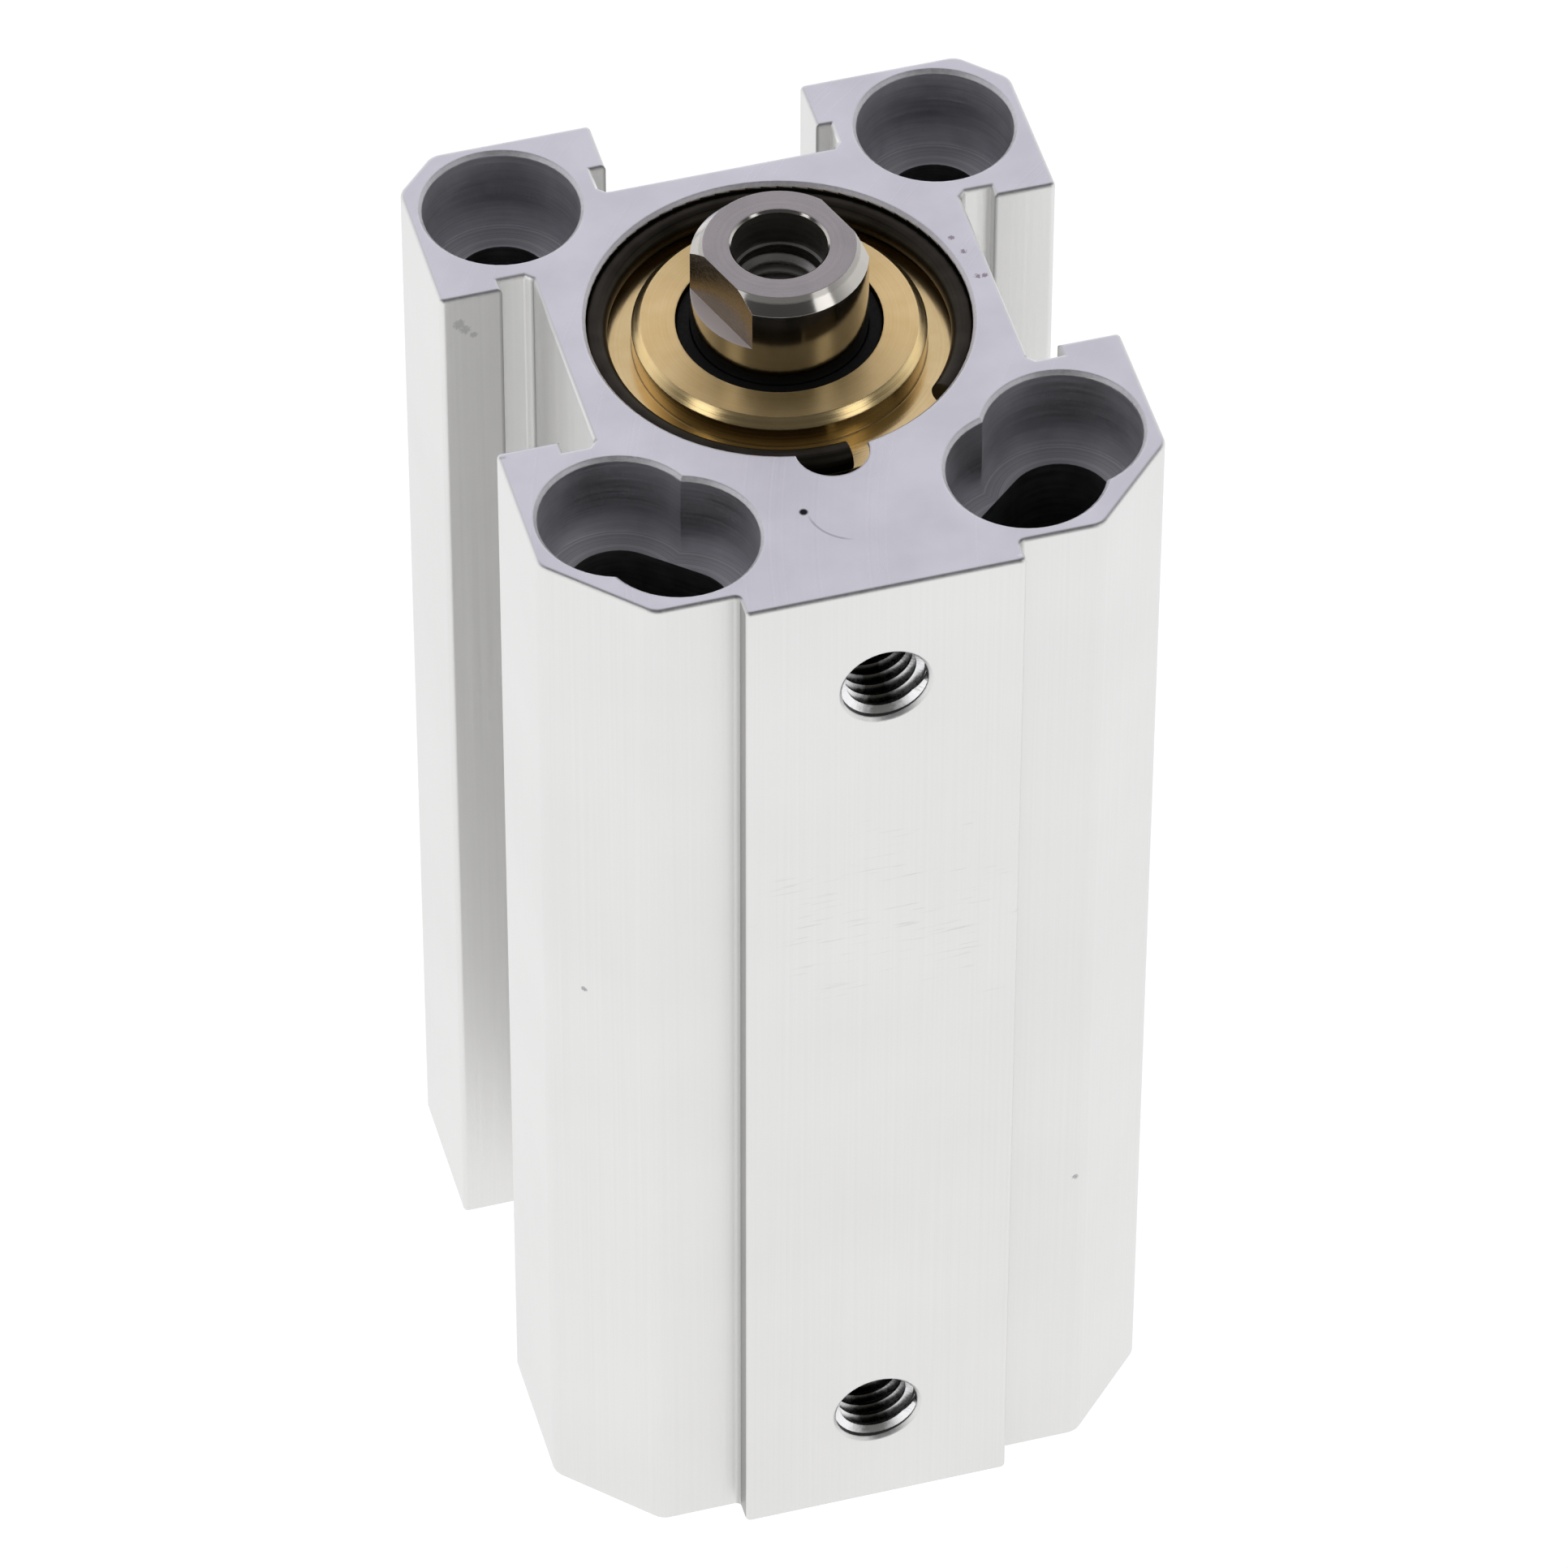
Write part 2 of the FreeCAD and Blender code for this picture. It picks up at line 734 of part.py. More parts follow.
def piston_screw():
    """Socket screw, head towards the rear."""
    seat = "dims.screw_room - dims.washer_thickness"
    head = f"{seat} - dims.screw_head_height"
    body = turned("piston_screw", on_piston_steps([
        ("0", head),
        ("dims.screw_head / 2 - dims.boss_edge", head),
        (half("screw_head"), f"{head} + dims.boss_edge"),
        (half("screw_head"), seat),
        (half("screw"), seat),
        (half("screw"), f"{seat} + dims.screw_length"),
        ("0", f"{seat} + dims.screw_length"),
    ]))
    key = new_sketch(body, "key_outline", "XY_Plane", up=on_piston(head))
    reach = "dims.screw_key / sqrt(3)"
    turns = [FULL_TURN / KEY_SIDES * step for step in range(KEY_SIDES)]
    polygon(key, [(f"{reach} * cos({turn})", f"{reach} * sin({turn})") for turn in turns])
    straight_cut(body, "key_socket", key, of("screw_key_depth"), upward=True)
    return body


# Whole cylinder
def build():
    nose = of("nose_end")
    seat = of("cover_seat")
    thickness = of("bumper_thickness")
    mouth_lip = inside("boss_mouth", "lip_play")
    seal_lip = outside("rod", "lip_bevel")
    return [
        cylinder_body(),
        rod_cover(),
        lip_ring("rod_wiper", "wiper", of("wiper_lip_top"), mouth_lip),
        lip_ring("rod_seal", "rod_seal", "dims.rod_seal_top + dims.lip_play", seal_lip),
        cover_o_ring("rod_cover_o_ring", from_front),
        snap_ring("front_snap_ring", from_front),
        bumper("front_bumper", from_front(f"{nose} + {thickness}"), from_front(nose)),
        piston_rod(),
        piston_front_half(),
        piston_rear_half(),
        piston_magnet(),
        piston_seal(),
        piston_wear_ring(),
        rod_o_ring(),
        piston_washer(),
        piston_screw(),
        bumper("rear_bumper", from_rear(seat), from_rear(f"{seat} + {thickness}")),
        rear_cover(),
        cover_o_ring("rear_cover_o_ring", from_rear),
        snap_ring("rear_snap_ring", from_rear),
    ]


def check(pieces):
    """Stop before anything is written if a feature failed or a solid is not sound."""
    for item in document.Objects:
        if {"Invalid", "Error"} & set(item.State):
            raise RuntimeError(f"{item.Label} failed: {item.State}")
    for piece in pieces:
        shape = piece.Shape
        if shape.isNull() or not shape.isValid() or len(shape.Solids) != 1:
            raise RuntimeError(f"{piece.Label} is not one sound solid")


pieces = build()
document.recompute()
check(pieces)
os.makedirs("parts", exist_ok=True)
for piece in pieces:
    piece.Shape.exportStep(f"parts/{piece.Label}.step")
    print(f"{piece.Label}: {piece.Shape.Volume:.1f} mm3")
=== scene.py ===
import json
import math

import bpy
from mathutils import Matrix, Vector


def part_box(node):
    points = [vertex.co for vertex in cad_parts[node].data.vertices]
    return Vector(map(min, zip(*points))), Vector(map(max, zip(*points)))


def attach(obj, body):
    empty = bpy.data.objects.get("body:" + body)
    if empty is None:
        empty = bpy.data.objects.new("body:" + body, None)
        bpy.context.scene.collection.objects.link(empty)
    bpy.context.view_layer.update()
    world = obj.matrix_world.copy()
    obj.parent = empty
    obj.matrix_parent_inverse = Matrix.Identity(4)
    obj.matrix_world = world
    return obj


# Looks of a short-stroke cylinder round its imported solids. Objects are in metres, textures in millimetres.
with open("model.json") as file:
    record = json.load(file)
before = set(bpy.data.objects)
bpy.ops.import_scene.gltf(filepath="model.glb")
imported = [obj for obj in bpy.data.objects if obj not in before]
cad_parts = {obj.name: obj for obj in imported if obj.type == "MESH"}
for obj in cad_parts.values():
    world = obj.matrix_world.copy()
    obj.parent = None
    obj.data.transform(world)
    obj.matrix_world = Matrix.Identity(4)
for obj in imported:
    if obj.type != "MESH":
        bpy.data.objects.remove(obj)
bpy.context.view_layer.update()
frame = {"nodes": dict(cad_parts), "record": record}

MM = 0.001
nodes = frame["nodes"]
mounts = {mount["name"]: mount for mount in frame["record"]["mounts"]}
body_low, body_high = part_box("cylinder_body")

# Places and sizes on the body, in millimetres
BODY_LENGTH = body_high.z / MM
PORT_FACE = -body_low.y / MM
PORT_HEIGHTS = [mounts[name]["pos_m"][2] / MM for name in ("port_front", "port_rear")]
PORT_RADIUS = mounts["port_front"]["dims"]["r_mm"]
BOLT_REACH = mounts["bolt_holes_back"]["dims"]["spacing_x_mm"] / 2
SECOND_BOLT = (9.95, -15.15)
BOLTS = ((BOLT_REACH, BOLT_REACH), (BOLT_REACH, -BOLT_REACH), SECOND_BOLT)
COUNTERBORE_RADIUS = 4.5
COUNTERBORE_DEPTH = 5.7
RECESS_RADIUS = 11.35
NOTCH_HALF = 2.15
NOTCH_END = 13.0
SLOT_FLOOR = 12.5
SLOT_LIP = 14.4
SLOT_MOUTH_HALF = 6.2
SLOT_FLOOR_HALF = 6.65
PAD_HALF = 8.0
PAD_FOOT = -20.5

# Places and sizes on the rod and its cover, in millimetres
COVER_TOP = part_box("rod_cover")[1].z / MM
ROD_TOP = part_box("piston_rod")[1].z / MM
ROD_RADIUS = 5.0
ROD_HOLE_RADIUS = 2.72
ROD_BEVEL_REACH = 1.0

# Slack for telling faces apart: off a plane and round an edge in millimetres, and off square as a cosine
LEVEL = 0.01
RIM = 0.25
FACING = 0.95

# M5 threads, in millimetres, with the fades at their two ends in turns
THREAD_PITCH = 0.8
THREAD_CREST = 2.08
THREAD_BASE = 0.66
THREAD_TIP = 0.16
THREAD_SINK = 0.03
THREAD_STEPS = 60
THREAD_LEAD_IN = 0.1
THREAD_RUN_OUT = 0.5
THREAD_LEAST_RISE = 0.02

# Spans of a noise texture, whose values crowd round a half
NOISE_CORE = (0.35, 0.65)
NOISE_SPREAD = (0.3, 0.7)
SCUFF_SPAN = (0.6, 0.72)
SPOT_FACE_SPAN = (0.45, 0.65)

# Radius that softens edges in the looks, in millimetres, and the rays that find an edge
EDGE_SOFTNESS = 0.15
CRISP_EDGE = 0.03
EDGE_RAYS = 4

# Colour sockets of a mix node, which shares its socket names with other kinds of value
MIX_FIRST = 6
MIX_SECOND = 7
MIX_RESULT = 2

# Share of a spot and of a line of painted corner shade that is full before it fades, and the grain of a
# ragged spot
SPOT_CORE = 0.6
SHADE_LINE_CORE = 0.3
RAGGED_GRAIN = 2.5


# Node helpers
def add(tree, kind, inputs=None, **settings):
    """New node with its settings, and each input either linked or set."""
    made = tree.nodes.new(kind)
    for name, value in settings.items():
        setattr(made, name, value)
    for name, value in (inputs or {}).items():
        if isinstance(value, bpy.types.NodeSocket):
            tree.links.new(value, made.inputs[name])
        else:
            made.inputs[name].default_value = value
    return made


def millimetres(tree):
    place = add(tree, "ShaderNodeTexCoord").outputs["Object"]
    return add(tree, "ShaderNodeVectorMath", {0: place, "Scale": 1 / MM}, operation="SCALE").outputs[0]


def stretch(tree, vector, factors):
    return add(tree, "ShaderNodeVectorMath", {0: vector, 1: factors}, operation="MULTIPLY").outputs[0]


def shift(tree, vector, offset):
    return add(tree, "ShaderNodeVectorMath", {0: vector, 1: offset}, operation="ADD").outputs[0]


def length(tree, vector):
    return add(tree, "ShaderNodeVectorMath", {0: vector}, operation="LENGTH").outputs["Value"]


def parts_of(tree, vector):
    return add(tree, "ShaderNodeSeparateXYZ", {0: vector}).outputs


def arithmetic(tree, operation, first, second=0.0):
    return add(tree, "ShaderNodeMath", {0: first, 1: second}, operation=operation).outputs[0]


def noise(tree, vector, scale=1.0, detail=3.0):
    return add(tree, "ShaderNodeTexNoise", {"Vector": vector, "Scale": scale, "Detail": detail}).outputs[0]


def remap(tree, value, low, high, to_low=0.0, to_high=1.0):
    inputs = {"Value": value, "From Min": low, "From Max": high, "To Min": to_low, "To Max": to_high}
    return add(tree, "ShaderNodeMapRange", inputs).outputs[0]


def blend(tree, factor, first, second):
    """Colour between two colours, each a triple or a socket."""
    mix = add(tree, "ShaderNodeMix", {"Factor": factor}, data_type="RGBA")
    for socket, colour in zip((mix.inputs[MIX_FIRST], mix.inputs[MIX_SECOND]), (first, second)):
        if isinstance(colour, bpy.types.NodeSocket):
            tree.links.new(colour, socket)
        else:
            socket.default_value = (*colour, 1)
    return mix.outputs[MIX_RESULT]


def bump(tree, height, depth, softness=EDGE_SOFTNESS):
    """Normal from a height of 0 to 1 that stands for a depth in millimetres, over softened edges."""
    soft = add(tree, "ShaderNodeBevel", {"Radius": softness * MM}, samples=EDGE_RAYS).outputs[0]
    inputs = {"Height": height, "Distance": depth * MM, "Normal": soft}
    return add(tree, "ShaderNodeBump", inputs).outputs[0]


def mean(tree, first, second, share=0.5):
    """Mean of two values, with the share that the first one has in it."""
    one = arithmetic(tree, "MULTIPLY", first, share)
    other = arithmetic(tree, "MULTIPLY", second, 1 - share)
    return arithmetic(tree, "ADD", one, other)


def in_plan(tree, across, along):
    return add(tree, "ShaderNodeCombineXYZ", {"X": across, "Y": along}).outputs[0]


def fold(tree, place, both=False):
    """Place in plan, its left half folded onto the right, and with both also its front onto its back."""
    parts = parts_of(tree, place)
    along = arithmetic(tree, "ABSOLUTE", parts["Y"]) if both else parts["Y"]
    return in_plan(tree, arithmetic(tree, "ABSOLUTE", parts["X"]), along)


def away_from(tree, plan, corner):
    """Distance in plan from a corner of the outline, the middle of a hole or an axis."""
    return length(tree, shift(tree, plan, (-corner[0], -corner[1], 0)))


def around(tree, place, centre=(0.0, 0.0)):
    """Distance from an upright axis and height, as a vector whose noise runs in rings."""
    parts = parts_of(tree, place)
    radius = away_from(tree, in_plan(tree, parts["X"], parts["Y"]), centre)
    return in_plan(tree, radius, parts["Z"])


def spot(tree, place, centre, radius, ragged=0.0):
    """One inside a small ball, fading to nothing at its edge, which may be ragged."""
    away = length(tree, shift(tree, place, tuple(-value for value in centre)))
    if ragged:
        grain = noise(tree, place, RAGGED_GRAIN / radius)
        away = arithmetic(tree, "ADD", away, remap(tree, grain, *NOISE_SPREAD, -ragged, ragged))
    return remap(tree, away, radius * SPOT_CORE, radius, 1, 0)


def beside(tree, plan, corner, reach):
    """One along an upright line at a corner of the outline, fading to nothing at some reach from it."""
    return remap(tree, away_from(tree, plan, corner), reach * SHADE_LINE_CORE, reach, 1, 0)


def new_material(name, metallic):
    material = bpy.data.materials.new(name)
    material.use_nodes = True
    tree = material.node_tree
    shader = tree.nodes["Principled BSDF"]
    shader.inputs["Metallic"].default_value = metallic
    return material, tree, shader


def feed(tree, shader, colour, roughness, normal):
    tree.links.new(colour, shader.inputs["Base Color"])
    tree.links.new(roughness, shader.inputs["Roughness"])
    tree.links.new(normal, shader.inputs["Normal"])


# Marks that the photograph shows, and the middle of the milling arcs: places and sizes in millimetres
SIDE_SPECKS = (((-16.2, -17.1, 44.1), 0.2), ((12.3, -20.5, 23.2), 0.2))
SMUDGE = (((-16.95, 6.2, 75.0), 0.4), ((-16.6, 6.2, 74.5), 0.35), ((-16.1, 6.2, 74.0), 0.25))
RUBBED_PLACE = (0.5, -22, 50)
RUBBED_RADIUS = 7
PIT = (-2.85, -15.17, BODY_LENGTH)
PIT_RADIUS = 0.3
SCRATCH_CENTRE = (0, -15.35)
SCRATCH_RADIUS = 2.68
SCRATCH_MIDDLE = (-2.1, -17, BODY_LENGTH)
SCRATCH_REACH = 1.7
SCRATCH_WIDTH = (0.04, 0.09)
NICKS = ((11.05, 3.6), (11.4, 2.34), (11.62, 0.2), (12, 0.18))
NICK_RADIUS = 0.2
# Reaches in millimetres of the painted shade in the slot corners and beside the pad
SLOT_SHADE_REACH = 0.22
PAD_SHADE_REACH = 0.3
# Spans in millimetres of the painted shade inside the ports: by depth, across, and near the mouth
PORT_SHADE_DEPTHS = (3.2, 4.8)
PORT_SHADE_ACROSS = (1.0, 2.1)
PORT_SHADE_MOUTH = (0.2, 1.4)
MILL_CENTRE = (46, -30)

# How ragged a mark is, as a share of its radius, and how far it covers what it lies on
SPECK_RAGGED = 0.6
SPECK_COVER = 0.8
SMUDGE_RAGGED = 0.3
SMUDGE_COVER = 0.4
SIDE_MARKS = ((SIDE_SPECKS, SPECK_RAGGED, SPECK_COVER), (SMUDGE, SMUDGE_RAGGED, SMUDGE_COVER))
RUBBED_RAGGED = 0.5
NICK_RAGGED = 0.5
SCUFF_COVER = 0.4
# Strength of the painted shade in the corners
CORNER_SHADE_COVER = 0.5
SCRATCH_COVER = 0.5
# Strength of the painted shade at the port mouths
MOUTH_SHADE_COVER = 0.7

# Colours of the marks, and of painted shade in corners and ports
SCUFF_GREY = (0.5, 0.5, 0.49)
SPECK_GREY = (0.3, 0.3, 0.31)
# Painted shade in the corners
CORNER_SHADE_GREY = (0.2, 0.2, 0.195)
SCRATCH_GREY = (0.3, 0.3, 0.32)
NICK_GREY = (0.4, 0.34, 0.38)
PIT_BLACK = (0.02, 0.02, 0.02)
# Painted shade inside the ports
PORT_SHADE_DARK = (0.08, 0.077, 0.068)

# Grain of the textures in waves per millimetre: one figure, or three along X, Y and Z
# Arcs and rings have radius and height in place of X and Y
DRAWN_LINES = (5, 5, 0.03)
SIDE_CLOUDS = 0.09
SIDE_GRAIN = 12
SCUFF_LINES = (0.35, 0.35, 6)
MILL_ARCS = (6, 6, 0)
MILL_CLOUDS = 0.25
EDGE_GRAIN = 4
BORE_LINES = (0.2, 0.2, 7)
BORE_CLOUDS = 0.5
SPOT_FACE_RINGS = 4
PORT_GRAIN = 3
LATHE_RINGS = (7, 7, 0)
LATHE_CLOUDS = 0.6
MOULDED_GRAIN = 5

# Depth of tool marks and grain, in millimetres
DRAWN_DEPTH = 0.002
MILL_DEPTH = 0.002
EDGE_DEPTH = 0.004
BORE_DEPTH = 0.005
SPOT_FACE_DEPTH = 0.02
PORT_DEPTH = 0.003
LATHE_DEPTH = 0.004
FINE_LATHE_DEPTH = 0.001
POLISHED_DEPTH = 0.0003
MOULDED_DEPTH = 0.01

# Share that drawn lines have in the tone of the sides, beside clouds
DRAWN_SHARE = 0.6

# Dark and light colours, and smooth and rough ends of the roughness, of metals with a function of their own
MILLED_COLOURS = ((0.80, 0.79, 0.83), (0.87, 0.86, 0.90))
EDGE_COLOURS = ((0.78, 0.77, 0.80), (0.88, 0.87, 0.90))
SPOT_FACE_COLOURS = ((0.62, 0.61, 0.66), (0.98, 0.96, 1.0))
PORT_BRIGHT = (0.88, 0.88, 0.89)
SIDE_ROUGHNESS = (0.36, 0.46)
MILLED_ROUGHNESS = (0.26, 0.34)
EDGE_ROUGHNESS = (0.45, 0.6)
SPOT_FACE_ROUGHNESS = (0.28, 0.42)
PORT_ROUGHNESS = (0.22, 0.32)
SPOT_FACE_METALLIC = 0.1

# Grooves of the brass face: how far they draw out a highlight, and its turn as a share of a full one
GROOVE_STRETCH = 0.8
GROOVE_TURN = 0.25

# Moulded pieces: how much darker their hollows are, and their shine
MOULDED_SHADE = 0.7
MOULDED_SHINE = 0.25


# Materials of the body
def painted_corner_shade(tree, place):
    """Painted shade in the upright corners of the slots and beside the port pad."""
    on_sides = fold(tree, place, both=True)
    front_and_back = fold(tree, place)
    found = beside(tree, front_and_back, (PAD_HALF, PAD_FOOT), PAD_SHADE_REACH)
    for depth, reach in ((SLOT_LIP, SLOT_MOUTH_HALF), (SLOT_FLOOR, SLOT_FLOOR_HALF)):
        on_side = beside(tree, on_sides, (depth, reach), SLOT_SHADE_REACH)
        on_back = beside(tree, front_and_back, (reach, depth), SLOT_SHADE_REACH)
        found = arithmetic(tree, "MAXIMUM", found, arithmetic(tree, "MAXIMUM", on_side, on_back))
    return found


def anodised(name, dark, light):
    """Matte extrusion with fine drawn lines, soft clouds, faint scuffs, specks, a smudge and painted shade
    in corners.
    """
    material, tree, shader = new_material(name, 1.0)
    place = millimetres(tree)
    lines = noise(tree, stretch(tree, place, DRAWN_LINES))
    clouds = noise(tree, place, SIDE_CLOUDS)
    grain = noise(tree, place, SIDE_GRAIN, detail=2)
    tone = mean(tree, lines, clouds, DRAWN_SHARE)
    colour = blend(tree, remap(tree, tone, *NOISE_CORE), dark, light)
    scratches = remap(tree, noise(tree, stretch(tree, place, SCUFF_LINES), detail=4), *SCUFF_SPAN)
    rubbed = spot(tree, place, RUBBED_PLACE, RUBBED_RADIUS, RUBBED_RADIUS * RUBBED_RAGGED)
    scuffs = arithmetic(tree, "MULTIPLY", arithmetic(tree, "MULTIPLY", scratches, rubbed), SCUFF_COVER)
    colour = blend(tree, scuffs, colour, SCUFF_GREY)
    for marks, ragged, cover in SIDE_MARKS:
        for centre, radius in marks:
            speck = spot(tree, place, centre, radius, radius * ragged)
            colour = blend(tree, arithmetic(tree, "MULTIPLY", speck, cover), colour, SPECK_GREY)
    # Painted shade in the slot corners and beside the port pad
    shade_mask = arithmetic(tree, "MULTIPLY", painted_corner_shade(tree, place), CORNER_SHADE_COVER)
    colour = blend(tree, shade_mask, colour, CORNER_SHADE_GREY)
    roughness = remap(tree, lines, *NOISE_SPREAD, *SIDE_ROUGHNESS)
    height = arithmetic(tree, "ADD", lines, grain)
    feed(tree, shader, colour, roughness, bump(tree, height, DRAWN_DEPTH))
    return material


def milled_end():
    """Face-milled end: faint arcs of the cutter, a lavender cast, a pit, a curved scratch and nicks."""
    material, tree, shader = new_material("milled_end", 1.0)
    place = millimetres(tree)
    arcs = noise(tree, stretch(tree, around(tree, place, MILL_CENTRE), MILL_ARCS))
    clouds = noise(tree, place, MILL_CLOUDS)
    colour = blend(tree, remap(tree, clouds, *NOISE_CORE), *MILLED_COLOURS)
    radius = parts_of(tree, around(tree, place, SCRATCH_CENTRE))["X"]
    off_line = arithmetic(tree, "ABSOLUTE", arithmetic(tree, "SUBTRACT", radius, SCRATCH_RADIUS))
    line = remap(tree, off_line, *SCRATCH_WIDTH, SCRATCH_COVER, 0)
    scratch = arithmetic(tree, "MULTIPLY", line, spot(tree, place, SCRATCH_MIDDLE, SCRATCH_REACH))
    colour = blend(tree, scratch, colour, SCRATCH_GREY)
    for x, y in NICKS:
        nick = spot(tree, place, (x, y, BODY_LENGTH), NICK_RADIUS, NICK_RADIUS * NICK_RAGGED)
        colour = blend(tree, nick, colour, NICK_GREY)
    colour = blend(tree, spot(tree, place, PIT, PIT_RADIUS), colour, PIT_BLACK)
    roughness = remap(tree, arcs, *NOISE_SPREAD, *MILLED_ROUGHNESS)
    feed(tree, shader, colour, roughness, bump(tree, arcs, MILL_DEPTH))
    return material


def cut_edge():
    """Small bevel broken round a hole by hand, duller than the milled end."""
    material, tree, shader = new_material("cut_edge", 1.0)
    grain = noise(tree, millimetres(tree), EDGE_GRAIN)
    colour = blend(tree, remap(tree, grain, *NOISE_CORE), *EDGE_COLOURS)
    roughness = remap(tree, grain, *NOISE_SPREAD, *EDGE_ROUGHNESS)
    feed(tree, shader, colour, roughness, bump(tree, grain, EDGE_DEPTH))
    return material


def bored_wall(name, dark, light, smooth=0.45, rough=0.6, metallic=1.0, softness=EDGE_SOFTNESS):
    """Bored hole wall with tool lines round it; walls that carry painted shade and painted light are made
    less metallic.
    """
    material, tree, shader = new_material(name, metallic)
    place = millimetres(tree)
    lines = noise(tree, stretch(tree, place, BORE_LINES))
    clouds = noise(tree, place, BORE_CLOUDS, detail=2)
    colour = blend(tree, remap(tree, mean(tree, lines, clouds), *NOISE_CORE), dark, light)
    roughness = remap(tree, lines, *NOISE_SPREAD, smooth, rough)
    feed(tree, shader, colour, roughness, bump(tree, lines, BORE_DEPTH, softness))
    return material


def spot_face_painted_light():
    """Floor of a counterbore, pale and nearly non-metallic as painted light, with rings left by the cutter
    round each hole.
    """
    material, tree, shader = new_material("spot_face_painted_light", SPOT_FACE_METALLIC)
    folded = fold(tree, millimetres(tree))
    near = away_from(tree, folded, BOLTS[0])
    for centre in BOLTS[1:]:
        near = arithmetic(tree, "MINIMUM", near, away_from(tree, folded, centre))
    rings = noise(tree, in_plan(tree, near, 0), SPOT_FACE_RINGS)
    colour = blend(tree, remap(tree, rings, *SPOT_FACE_SPAN), *SPOT_FACE_COLOURS)
    roughness = remap(tree, rings, *NOISE_SPREAD, *SPOT_FACE_ROUGHNESS)
    feed(tree, shader, colour, roughness, bump(tree, rings, SPOT_FACE_DEPTH))
    return material


def port_thread():
    """Thread of the ports: bright at its sides, with painted shade near its top and bottom and farther in.
    """
    material, tree, shader = new_material("port_thread", 1.0)
    place = millimetres(tree)
    grain = noise(tree, place, PORT_GRAIN)
    parts = parts_of(tree, place)
    depth = arithmetic(tree, "ADD", parts["Y"], PORT_FACE)
    # Painted shade that deepens farther in and near the top and bottom of the port
    deep_shade = remap(tree, arithmetic(tree, "ADD", depth, grain), *PORT_SHADE_DEPTHS)
    across = arithmetic(tree, "ADD", arithmetic(tree, "ABSOLUTE", parts["X"]), grain)
    shade_mask = remap(tree, across, *PORT_SHADE_ACROSS, 1, 0)
    thinner = remap(tree, depth, *PORT_SHADE_MOUTH, MOUTH_SHADE_COVER, 1)
    shade_mask = arithmetic(tree, "MULTIPLY", shade_mask, thinner)
    colour = blend(tree, arithmetic(tree, "MAXIMUM", deep_shade, shade_mask), PORT_BRIGHT, PORT_SHADE_DARK)
    roughness = remap(tree, grain, *NOISE_SPREAD, *PORT_ROUGHNESS)
    feed(tree, shader, colour, roughness, bump(tree, grain, PORT_DEPTH, CRISP_EDGE))
    return material


# Materials of the other pieces
def turned_metal(name, dark, light, smooth, rough, marks=LATHE_DEPTH, softness=EDGE_SOFTNESS):
    """Metal turned on a lathe, with fine rings round the bore axis and faint stains."""
    material, tree, shader = new_material(name, 1.0)
    place = millimetres(tree)
    rings = noise(tree, stretch(tree, around(tree, place), LATHE_RINGS), detail=4)
    clouds = noise(tree, place, LATHE_CLOUDS)
    colour = blend(tree, remap(tree, mean(tree, rings, clouds), *NOISE_CORE), dark, light)
    roughness = remap(tree, rings, *NOISE_SPREAD, smooth, rough)
    feed(tree, shader, colour, roughness, bump(tree, rings, marks, softness))
    return material


def brushed_brass():
    """Turned face of the cover, where fine grooves spread each lamp into a fan."""
    material = turned_metal("brushed_brass", (0.86, 0.62, 0.28), (0.97, 0.74, 0.38), 0.36, 0.44)
    tree = material.node_tree
    shader = tree.nodes["Principled BSDF"]
    shader.inputs["Anisotropic"].default_value = GROOVE_STRETCH
    shader.inputs["Anisotropic Rotation"].default_value = GROOVE_TURN
    tangent = add(tree, "ShaderNodeTangent", direction_type="RADIAL", axis="Z")
    tree.links.new(tangent.outputs[0], shader.inputs["Tangent"])
    return material


def soft_material(name, colour, smooth, rough):
    """Moulded rubber or plastic with a fine grain."""
    material, tree, shader = new_material(name, 0.0)
    grain = noise(tree, millimetres(tree), MOULDED_GRAIN)
    dark = tuple(value * MOULDED_SHADE for value in colour)
    shade = blend(tree, remap(tree, grain, *NOISE_SPREAD), dark, colour)
    roughness = remap(tree, grain, *NOISE_SPREAD, smooth, rough)
    shader.inputs["Specular IOR Level"].default_value = MOULDED_SHINE
    feed(tree, shader, shade, roughness, bump(tree, grain, MOULDED_DEPTH))
    return material


def dress(node, *materials):
    """Give a piece its materials in place of those it came with."""
    mesh = nodes[node].data
    mesh.materials.clear()
    for material in materials:
        mesh.materials.append(material)
    return mesh


# Faces of the body by what made them
SIDE, MILLED, CUT_EDGE, COUNTERBORE, SPOT_FACE, THROUGH, RECESS, SLOT_WALL, SLOT_BED, PAD_WALL = range(10)


def in_undercut(x, y):
    """Whether a place lies behind the lips of one of the three slots."""
    for depth, across in ((abs(x), abs(y)), (y, abs(x))):
        if SLOT_FLOOR + LEVEL < depth < SLOT_LIP and SLOT_MOUTH_HALF + RIM < across < PAD_HALF:
            return True
    return False


def on_slot_bed(x, y):
    """Whether a place lies on the flat bottom of one of the three slots."""
    at_floor = any(abs(depth - SLOT_FLOOR) < LEVEL for depth in (abs(x), y))
    return at_floor and min(abs(x), abs(y)) < PAD_HALF


